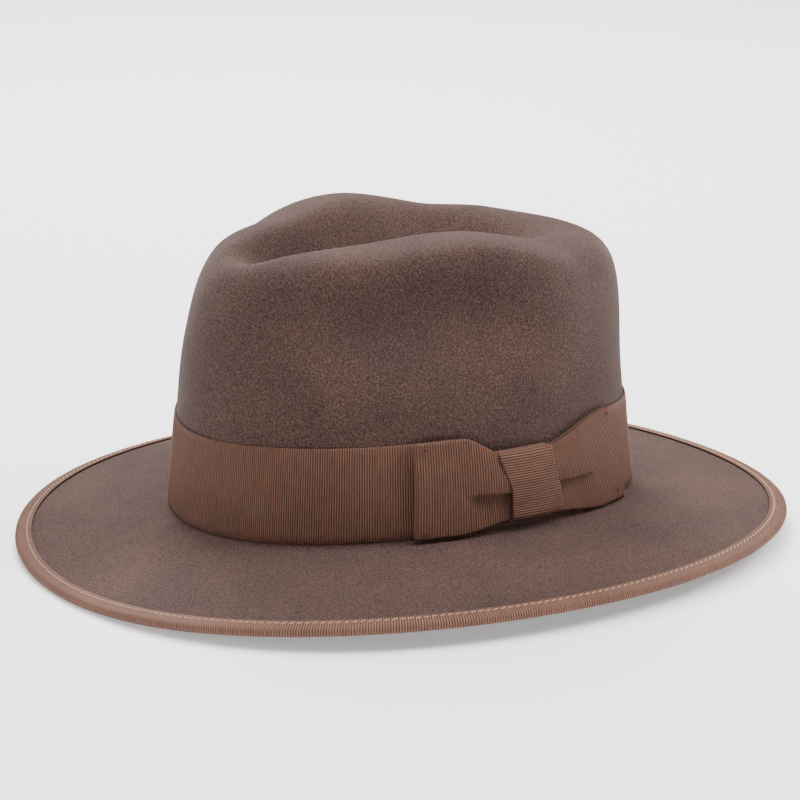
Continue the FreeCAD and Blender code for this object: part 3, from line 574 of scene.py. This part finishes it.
def placeBinding(u, v):
    angle = quarter + full * u
    inner = hat["felt"] / 2 + bindingPiece["gap"]
    outer = inner + bindingPiece["thickness"]
    rib = ribs(u * bindingRibs) * bindingPiece["ribDepth"]
    width = bindingPiece["width"] - hat["felt"] / 2
    stops = [0, 0.26, 0.44, 0.70, 0.74, 0.84, 0.90, 0.98, 1.0]
    insets = np.interp(v, stops, [width, 0, 0, width, width, 0, 0, width, width])
    turn = np.interp(v, [0, 0.26, 0.44, 0.84, 0.90, 1], [0, 0, math.pi, math.pi, 0, 0])
    radius = np.interp(v, [0, 0.70, 0.74, 0.98, 1.0], [outer, outer, inner, inner, outer])
    lip = np.minimum(1.0, v / 0.03) * np.minimum(1.0, np.abs(v - 0.70) / 0.03)
    radius = radius + np.where(v < 0.70, rib, 0) * lip
    sign = np.where(turn > quarter, -1.0, 1.0)
    flat = edgePoint(angle, insets, radius * sign)
    rounded = edgeTurn(angle, radius, turn)
    onTurn = ((v > 0.26) & (v < 0.44)) | ((v > 0.84) & (v < 0.90))
    return np.where(onTurn[:, None], rounded, flat)


binding = sweptPiece("brimBinding", bindingRibs * 3, 32, placeBinding, (bindingRibs, 36), ring=True)
finishPiece(binding, bindingRibbon, ["brim_binding"])
print("binding folded", len(binding.data.polygons) * 2)

# stitches along the binding, above and below
bindingSeam = {"inset": 3.6, "pitch": 3.0, "length": 2.4, "radius": 0.30, "slant": 0.8, "proud": 0.10,
               "girth": 980, "meanRadius": 160}


def seamStitches(sign):
    count = round(bindingSeam["girth"] / bindingSeam["pitch"])
    centre = quarter + full * (np.arange(count) + 0.5) / count
    half = bindingSeam["length"] / 2 / bindingSeam["meanRadius"]
    height = hat["felt"] / 2 + bindingPiece["gap"] + bindingPiece["thickness"] + bindingSeam["proud"]
    near, far = (np.full(count, bindingSeam["inset"] + side * bindingSeam["slant"] / 2) for side in (-1, 1))
    return edgePoint(centre - half, near, height * sign), edgePoint(centre + half, far, height * sign)


upper, lower = seamStitches(1), seamStitches(-1)
seam = stitchRow("bindingStitches", np.concatenate([upper[0], lower[0]]),
                 np.concatenate([upper[1], lower[1]]), bindingSeam["radius"])
finishPiece(seam, goldThread, ["brim_binding_stitches"])
print("binding sewn")

# hatband: ribbed ribbon round the crown, its ends tucked under the bow
bandPiece = {"low": 1.3, "high": 40.4, "inner": 0.1, "outer": 0.85, "ribPitch": 1.02,
             "ribDepth": 0.17, "from": 31.0, "to": 345.0, "length": 524}
bandRibs = round(bandPiece["length"] / bandPiece["ribPitch"])


def placeBand(u, v):
    angle = np.radians(bandPiece["from"] + (bandPiece["to"] - bandPiece["from"]) * u)
    high = bandPiece["high"] + 0.25 * np.sin(angle * 5 + 0.6) * (v > 0.2)
    height, offset = stripLoop(v, bandPiece["low"], high, bandPiece["inner"], bandPiece["outer"])
    face = smooth(0, 0.02, v) * (1 - smooth(0.42, 0.44, v))
    offset = offset + ribs(u * bandRibs) * bandPiece["ribDepth"] * face
    offset = offset + 0.18 * np.sin(angle * 7 + 1) * smooth(0.3, 0.44, v) * (v < 0.55)
    return wallPoint(angle, height, np.maximum(offset, 0.05))


band = sweptPiece("hatband", bandRibs * 4, 30, placeBand, (bandRibs, 80))
finishPiece(band, grosgrain, ["hatband"])
print("band laid", len(band.data.polygons) * 2)

# bow leaves: a doubled ribbon, folded at the free end and pleated into the knot
sideAt = hat["halfLength"] + 2.5  # turns a distance along the hat into an angle near the side


def along(y):
    return np.arcsin(np.clip(y / sideAt, -1, 1))


frontLeaf = {"end": -44.0, "root": 4.0, "ribbon": 0.62, "ribPitch": 1.02, "ribDepth": 0.16,
             "foldOut": 3.7, "foldIn": 2.1, "pleat": 6.2, "lip": 1.7}
rearLeaf = {"endTop": 59.0, "endLow": 67.0, "root": 12.0, "ribbon": 0.62, "ribPitch": 1.02,
            "ribDepth": 0.16, "foldOut": 3.2, "foldIn": 1.6, "pleat": 5.0, "lip": 1.5}


# one leaf: u runs from under the knot out to the fold and back behind, v round the ribbon section
def leafPlacer(leaf, sign, endAt, highAt, lowAt, creaseAt, fadeAt):
    def place(u, v):
        outer = u < 0.47
        turning = (u >= 0.47) & (u <= 0.53)
        section = np.where(v < 0.5, v * 2, (1 - v) * 2)
        side = np.where(v < 0.5, 0.5, -0.5)
        rim = np.sin(np.clip(section, 0, 1) * math.pi) ** 0.12
        side = side * np.maximum(rim, 0.12)
        c = np.clip(section, 0, 1)
        reach = np.where(outer, u / 0.47, np.where(u > 0.53, (1 - u) / 0.47, 1.0))
        level = 40.0 * c
        end = endAt(level)
        y = leaf["root"] + (end - leaf["root"]) * reach
        turn = np.clip((u - 0.47) / 0.06, 0, 1) * math.pi
        middle = (leaf["foldOut"] + leaf["foldIn"]) / 2
        radius = (leaf["foldOut"] - leaf["foldIn"]) / 2
        y = y + np.where(turning, sign * radius * np.sin(turn), 0)
        flat = np.where(outer, leaf["foldOut"], leaf["foldIn"])
        offset = np.where(turning, middle + radius * np.cos(turn), flat)
        high, low = highAt(y), lowAt(y)
        fade = np.where(outer, fadeAt(y), 0.0)
        crease = creaseAt(y)
        tuck = leaf["pleat"] * fade
        # three runs across the ribbon: below the pleat, back up behind it, and the upper part
        cut1 = 0.36
        cut2 = cut1 + 0.13 * np.clip(tuck / leaf["pleat"], 0.02, 1)
        cut3 = cut2 + 0.05
        lowRun = low + (crease + tuck - low) * np.clip(c / cut1, 0, 1)
        backRun = crease + tuck - tuck * np.clip((c - cut1) / (cut2 - cut1), 0, 1)
        highRun = crease + (high - crease) * np.clip((c - cut2) / (1 - cut2), 0, 1)
        height = np.where(c < cut1, lowRun, np.where(c < cut2, backRun, highRun))
        lift = leaf["lip"] * fade
        rise = np.clip((c - cut1) / (cut2 - cut1), 0, 1)
        puff = np.sin(np.clip((c - cut2) / (1 - cut2), 0, 1) * math.pi) * 0.7 * fade
        droop = lift * (0.35 + 0.65 * (1 - smooth(0, 1, (c - cut3) / (1 - cut3))))
        offset = offset + np.where(c < cut1, 0.0, np.where(c < cut2, lift * rise, droop + puff))
        hollow = -1.5 * smooth(0, 0.5, fade) * smooth(0, 0.85, c / cut1)
        offset = offset + np.where((c < cut1) & outer, hollow, 0)
        offset = offset + np.where((c >= cut1) & (c < cut2) & outer, hollow * (1 - rise), 0)
        straight = np.cos(turn)
        rib = ribs(u * leaf["ribCount"]) * leaf["ribDepth"]
        shift = side * leaf["ribbon"] + np.where(v < 0.5, rib, 0)
        offset = offset + shift * straight
        y = y + np.where(turning, sign * shift * np.sin(turn), 0)
        return wallPoint(along(y), height, offset)
    return place


frontRun = frontLeaf["root"] - frontLeaf["end"]
frontLeaf["ribCount"] = round(2 * frontRun / frontLeaf["ribPitch"])
placeFront = leafPlacer(
    frontLeaf, -1, lambda level: frontLeaf["end"] + 0.6 * np.sin(level / 40 * math.pi),
    lambda y: 40.4 - 11.0 * smooth(-25, 0, y), lambda y: 1.0 + 4.2 * smooth(-28, 4, y),
    lambda y: 15.4 - (y + 1.1) * 0.06, lambda y: smooth(-26, -8, y))
front = sweptPiece("bowFrontLeaf", frontLeaf["ribCount"] * 4, 96, placeFront,
                   (frontLeaf["ribCount"], 80))
finishPiece(front, grosgrain, ["bow_front_leaf"])

rearRun = rearLeaf["endLow"] - rearLeaf["root"]
rearLeaf["ribCount"] = round(2 * rearRun / rearLeaf["ribPitch"])
placeRear = leafPlacer(
    rearLeaf, 1, lambda level: rearLeaf["endLow"] + (rearLeaf["endTop"] - rearLeaf["endLow"]) * level / 40,
    lambda y: 31.0 + 10.0 * smooth(8, 56, y), lambda y: 3.6 - 3.4 * smooth(16, 52, y),
    lambda y: 16.2 - (y - 26.6) * 0.02, lambda y: 1 - smooth(24, 47, y))
rear = sweptPiece("bowRearLeaf", rearLeaf["ribCount"] * 4, 96, placeRear,
                  (rearLeaf["ribCount"], 80))
finishPiece(rear, grosgrain, ["bow_rear_leaf"])
print("leaves folded")

# knot: a strip wrapped over the top and bottom edges, its ribs along the hat
knotPiece = {"low": 4.4, "high": 32.6, "ribbon": 0.6, "out": 5.75, "in": 0.45, "turn": 2.4, "ribPitch": 1.06,
             "ribDepth": 0.17, "bulge": 0.7}


def knotFrontEdge(height):
    return -4.4 - 5.0 * smooth(15, 33, height)


def knotRearEdge(height):
    return 22.6 - 4.0 * smooth(2, 33, height)


def placeKnot(u, v):
    # loop in (height, offset): over the top, down the face, under the bottom
    radius = knotPiece["turn"]
    low, high, out, within = (knotPiece[key] for key in ("low", "high", "out", "in"))
    face = high - low - 2 * radius
    turnRun = radius * math.pi / 2
    flatRun = out - radius - within
    total = 2 * (flatRun + turnRun) + face
    s = u * total
    a1, a2, a3, a4 = flatRun, flatRun + turnRun, flatRun + turnRun + face, flatRun + 2 * turnRun + face
    t1 = np.clip((s - a1) / turnRun, 0, 1) * quarter
    t2 = np.clip((s - a3) / turnRun, 0, 1) * quarter
    height = high - radius + radius * np.cos(t1)
    offset = np.where(s < a1, within + s, out - radius + radius * np.sin(t1))
    down = np.clip((s - a2) / face, 0, 1)
    height = np.where(s > a2, high - radius - face * down, height)
    offset = np.where(s > a2, out + knotPiece["bulge"] * np.sin(down * math.pi), offset)
    height = np.where(s > a3, low + radius - radius * np.sin(t2), height)
    offset = np.where(s > a3, out - radius + radius * np.cos(t2), offset)
    offset = np.where(s > a4, out - radius - (s - a4), offset)
    normalUp = np.where(s < a2, np.cos(t1), np.where(s > a3, -np.sin(t2), 0))
    normalOut = np.where(s < a2, np.sin(t1), np.where(s > a3, np.cos(t2), 1))
    share = np.where(v < 0.5, v * 2, (1 - v) * 2)
    rim = np.sin(np.clip(share, 0, 1) * math.pi) ** 0.15
    side = np.where(v < 0.5, 1.0, -1.0) * np.maximum(rim, 0.15) * knotPiece["ribbon"] / 2
    rib = np.where(v < 0.5, ribs(u * knotRibs) * knotPiece["ribDepth"], 0)
    frontEdge, rearEdge = knotFrontEdge(height), knotRearEdge(height)
    y = frontEdge + (rearEdge - frontEdge) * share
    waist = 0.5 * np.sin(share * math.pi) * normalOut
    height = height + normalUp * (side + rib)
    offset = offset + normalOut * (side + rib) + waist
    return wallPoint(np.arcsin(y / (hat["halfLength"] + 6)), height, np.maximum(offset, 0.1))


knotFlat = knotPiece["out"] - knotPiece["turn"] - knotPiece["in"]
knotFace = knotPiece["high"] - knotPiece["low"] - 2 * knotPiece["turn"]
knotLength = 2 * (knotFlat + knotPiece["turn"] * quarter) + knotFace
knotRibs = round(knotLength / knotPiece["ribPitch"])
knot = sweptPiece("bowKnot", knotRibs * 5, 72, placeKnot, (knotRibs, 46))
finishPiece(knot, grosgrain, ["bow_knot"])

# tacks: small crossed dark stitches at the corners of the leaves
tackPiece = {"radius": 0.26, "proud": 0.12,
             "places": [(frontLeaf, -40.6, 37.6), (frontLeaf, -40.8, 3.6),
                        (rearLeaf, 57.0, 38.6), (rearLeaf, 61.5, 4.4)]}
tackStarts, tackStops = [], []
for leaf, y, height in tackPiece["places"]:
    level = leaf["foldOut"] + leaf["ribbon"] / 2 + leaf["ribDepth"] + tackPiece["proud"]
    for first, second in (((-1.3, 0.8), (0.1, -0.9)), ((0.1, -0.9), (1.4, 0.9)), ((-1.5, 0.7), (1.3, 0.8))):
        pair = []
        for shift in (first, second):
            pair.append(wallPoint(along(y + shift[0]), height + shift[1], level))
        tackStarts.append(pair[0])
        tackStops.append(pair[1])
tacks = stitchRow("bowTacks", tackStarts, tackStops, tackPiece["radius"])
finishPiece(tacks, redThread, ["bow_tack_stitches"])
print("knot wrapped and tacked")

# sweatband: leather strip round the inside, with its seam above the reed
leatherPiece = {"low": 1.2, "tall": 55.0, "outer": -3.05, "inner": -4.35}


def placeLeather(u, v):
    angle = quarter + full * u
    height, offset = stripLoop(v, leatherPiece["low"], leatherPiece["low"] + leatherPiece["tall"],
                               leatherPiece["inner"], leatherPiece["outer"])
    wave = 0.35 * np.sin(angle * 9 + 0.4) + 0.25 * np.sin(angle * 14 + 1.9)
    slack = smooth(30, 56, height)
    offset = offset - 0.3 * slack + wave * slack * 0.5
    return wallPoint(angle, height, offset)


sweatband = sweptPiece("sweatband", 288, 72, placeLeather, (570, 112), ring=True)
finishPiece(sweatband, leather, ["sweatband"])

seamPiece = {"count": 182, "low": 3.2, "rise": 1.6, "radius": 0.22}
seamAngles = quarter + full * np.arange(seamPiece["count"] + 1) / seamPiece["count"]
seamHeights = seamPiece["low"] + seamPiece["rise"] * (np.arange(seamPiece["count"] + 1) % 2)
seamPoints = wallPoint(seamAngles, seamHeights, np.full_like(seamAngles, leatherPiece["inner"] - 0.05))
leatherSeam = stitchRow("sweatbandStitches", seamPoints[:-1], seamPoints[1:], seamPiece["radius"])
finishPiece(leatherSeam, leatherThread, ["sweatband_stitches"])

reedPiece = {"radius": 0.8, "height": 0.25, "tape": 0.4, "tapeHigh": 6.0}
reedOffset = (leatherPiece["inner"] + leatherPiece["outer"]) / 2


def placeReed(u, v):
    angle, turn = quarter + full * u, full * v
    return wallPoint(angle, reedPiece["height"] + reedPiece["radius"] * np.sin(turn),
                     reedOffset + reedPiece["radius"] * np.cos(turn))


reed = sweptPiece("reed", 288, 16, placeReed, (300, 4), ring=True)
finishPiece(reed, reedPlastic, ["sweatband_reed"])


def placeTape(u, v):
    angle = quarter + full * u
    radius, half = reedPiece["radius"] + 0.15 + reedPiece["tape"] / 2, reedPiece["tape"] / 2
    share = np.where(v < 0.5, v * 2, (1 - v) * 2)
    rim = np.maximum(np.sin(np.clip(share, 0, 1) * math.pi) ** 0.2, 0.1)
    side = np.where(v < 0.5, 1.0, -1.0) * rim * half
    turn = np.clip((share - 0.55) / 0.4, 0, 1) * math.pi
    up = np.where(share < 0.55, reedPiece["tapeHigh"] * (1 - share / 0.55), -(radius + side) * np.sin(turn))
    up = np.where(share > 0.95, 0.5 * (share - 0.95) / 0.05, up)
    out = np.where(share < 0.55, radius + side, (radius + side) * np.cos(turn))
    return wallPoint(angle, reedPiece["height"] + up, reedOffset + out)


tape = sweptPiece("reedTape", 288, 48, placeTape, (560, 14), ring=True)
finishPiece(tape, cotton, ["sweatband_reed_tape"])
print("sweatband fitted")

# small folded bow over the sweatband's back seam
backBow = {"span": 22.0, "tall": 8.0, "waist": 3.4, "place": 95.3, "level": 41.0, "puff": 1.1}


def placeBackBow(u, v):
    x = (u - 0.5) * backBow["span"]
    far = np.abs(u - 0.5) * 2
    half = backBow["waist"] / 2 + (backBow["tall"] - backBow["waist"]) / 2 * smooth(0.05, 0.9, far)
    turn = full * v
    z = half * np.cos(turn) * (1 - 0.25 * smooth(0.93, 1, far))
    depth = (0.45 + backBow["puff"] * np.sin(far * math.pi) ** 0.8 * 0.5) * np.sin(turn)
    depth = depth + 0.25 * np.cos(z * 2.4) * far * (np.sin(turn) < 0)
    return np.stack([x, backBow["place"] - 0.6 + depth * 0.8, backBow["level"] + z], -1)


rearBow = sweptPiece("sweatbandRearBow", 72, 32, placeBackBow, (22, 16))
finishPiece(rearBow, darkSatin, ["sweatband_rear_bow"])

# lining: gathered satin wall, flat oval tip, cord piping and the clear shield under it
liningPiece = {"tipLength": 84.0, "tipWidth": 60.0, "tipLevel": 94.0, "piping": 0.9,
               "pipingLevel": 92.95, "low": 24.0, "thickness": 0.4, "gathers": 0.8, "tipThickness": 0.5}
shieldPiece = {"halfWidth": 34.0, "halfLength": 46.0, "level": 93.55, "thickness": 0.3}


def placeLining(u, v):
    angle = quarter + full * u
    share = np.where(v < 0.5, v * 2, (1 - v) * 2)
    rim = np.maximum(np.sin(np.clip(share, 0, 1) * math.pi) ** 0.15, 0.1)
    side = np.where(v < 0.5, 1.0, -1.0) * rim * liningPiece["thickness"] / 2
    tall = liningPiece["tipLevel"] - breakLevel(angle) - liningPiece["low"]
    wall = wallPoint(angle, liningPiece["low"] + tall * share, -2.7 + side)
    flat = liningPiece["piping"] + 0.55 + side
    tip = np.stack([(liningPiece["tipWidth"] + flat) * np.cos(angle),
                    (liningPiece["tipLength"] + flat) * np.sin(angle),
                    np.full_like(angle, liningPiece["tipLevel"])], -1)
    lean = smooth(0.74, 1.0, share)[:, None]
    points = wall + (tip - wall) * lean
    points[:, 2] = wall[:, 2]
    folds = np.sin(angle * 46 + 3 * np.sin(angle * 5)) + 0.5 * np.sin(angle * 71 + 1)
    ease = smooth(0.70, 0.86, share) * (1 - smooth(0.95, 1, share))
    centre = np.stack([np.cos(angle) * 0.8, np.sin(angle), np.zeros_like(angle)], -1)
    return points - centre * ((folds + 1.2) * 0.5 * ease * liningPiece["gathers"])[:, None]


lining = sweptPiece("liningWall", 736, 48, placeLining, (530, 120), ring=True)
finishPiece(lining, satin, ["lining_sidewall"])


def ovalPlacer(halfWidth, halfLength, level, thickness):
    def place(u, v):
        angle = full * u
        share = np.where(v < 0.5, v * 2, (1 - v) * 2)
        side = np.where(v < 0.5, thickness, 0.0) * (share < 0.999) + thickness / 2 * (share >= 0.999)
        return np.stack([halfWidth * share * np.cos(angle), halfLength * share * np.sin(angle),
                         level + side], -1)
    return place


placeTip = ovalPlacer(liningPiece["tipWidth"], liningPiece["tipLength"], liningPiece["tipLevel"],
                      liningPiece["tipThickness"])
tip = sweptPiece("liningTip", 144, 48, placeTip, (500, 120), ring=True, tube=False)
finishPiece(tip, satin, ["lining_tip"])


def placePiping(u, v):
    angle, turn = full * u, full * v
    reach = liningPiece["piping"] * np.cos(turn)
    return np.stack([(liningPiece["tipWidth"] + reach) * np.cos(angle),
                     (liningPiece["tipLength"] + reach) * np.sin(angle),
                     liningPiece["pipingLevel"] + liningPiece["piping"] * np.sin(turn)], -1)


piping = sweptPiece("liningPiping", 288, 16, placePiping, (400, 6), ring=True)
finishPiece(piping, darkSatin, ["lining_piping"])

shield = sweptPiece("tipShield", 96, 32, ovalPlacer(*shieldPiece.values()), (200, 60), ring=True, tube=False)
finishPiece(shield, clearPlastic, ["tip_shield"])
print("lining hung")

# studio: pale floor, soft lights and the camera
studio = {
    "pale": (0.93, 0.93, 0.925), "floorSize": 9.0, "floorGlow": 0.40, "worldGlow": 0.02,
    "aim": (0, 0, 0.06),
    "lights": {
        "overhead": ((0, 0, 2.2), 2.6, 96),
        "backRight": ((0.9, 1.2, 1.5), 1.0, 40),
        "backLeft": ((-1.3, 0.5, 1.4), 1.0, 57),
        "frontLeft": ((-0.2, -1.9, 0.8), 0.8, 7),
        "leftEdge": ((-0.9, -1.5, 0.6), 0.8, 5),
        "fill": ((1.3, -0.9, 0.9), 1.2, 2.5),
    },
}
floorMaterial, nodes, links, shader = newMaterial("paleFloor")
shader.inputs["Base Color"].default_value = (*studio["pale"], 1)
shader.inputs["Roughness"].default_value = 0.9
shader.inputs["Specular IOR Level"].default_value = 0.1
shader.inputs["Emission Color"].default_value = (1, 1, 1, 1)
shader.inputs["Emission Strength"].default_value = studio["floorGlow"]
bm = bmesh.new()
bmesh.ops.create_grid(bm, x_segments=8, y_segments=8, size=studio["floorSize"] / 2)
floor = pieceFrom(bm, "floor")
floor.data.materials.append(floorMaterial)
floor.location.z = -0.0003

world = bpy.data.worlds.new("studio")
bpy.context.scene.world = world
world.use_nodes = True
background = next(node for node in world.node_tree.nodes if node.type == "BACKGROUND")
background.inputs["Color"].default_value = (1, 1, 1, 1)
background.inputs["Strength"].default_value = studio["worldGlow"]


def softLight(name, place, size, power):
    data = bpy.data.lights.new(name, "AREA")
    data.shape = "DISK"
    data.size = size
    data.energy = power
    light = bpy.data.objects.new(name, data)
    bpy.context.scene.collection.objects.link(light)
    light.location = place
    light.rotation_euler = (Vector(studio["aim"]) - Vector(place)).to_track_quat("-Z", "Y").to_euler()


for name, (place, size, power) in studio["lights"].items():
    softLight(name, place, size, power)

shot = {"azimuth": 58.2, "elevation": 17.5, "distance": 1.4, "lens": 145.8, "roll": -0.744,
        "shift": (-0.0031, 0.138), "aim": (0, 0, 0.0071)}
azimuth, elevation = math.radians(shot["azimuth"]), math.radians(shot["elevation"])
toCamera = Vector((math.sin(azimuth) * math.cos(elevation), -math.cos(azimuth) * math.cos(elevation),
                   math.sin(elevation)))
cameraData = bpy.data.cameras.new("camera")
camera = bpy.data.objects.new("camera", cameraData)
bpy.context.scene.collection.objects.link(camera)
bpy.context.scene.camera = camera
cameraData.lens = shot["lens"]
cameraData.sensor_width = 36
cameraData.shift_x, cameraData.shift_y = shot["shift"]
camera.location = Vector(shot["aim"]) + toCamera * shot["distance"]
camera.rotation_euler = (toCamera.to_track_quat("Z", "Y")
                         @ Matrix.Rotation(math.radians(shot["roll"]), 3, "Z").to_quaternion()).to_euler()
print("studio set")
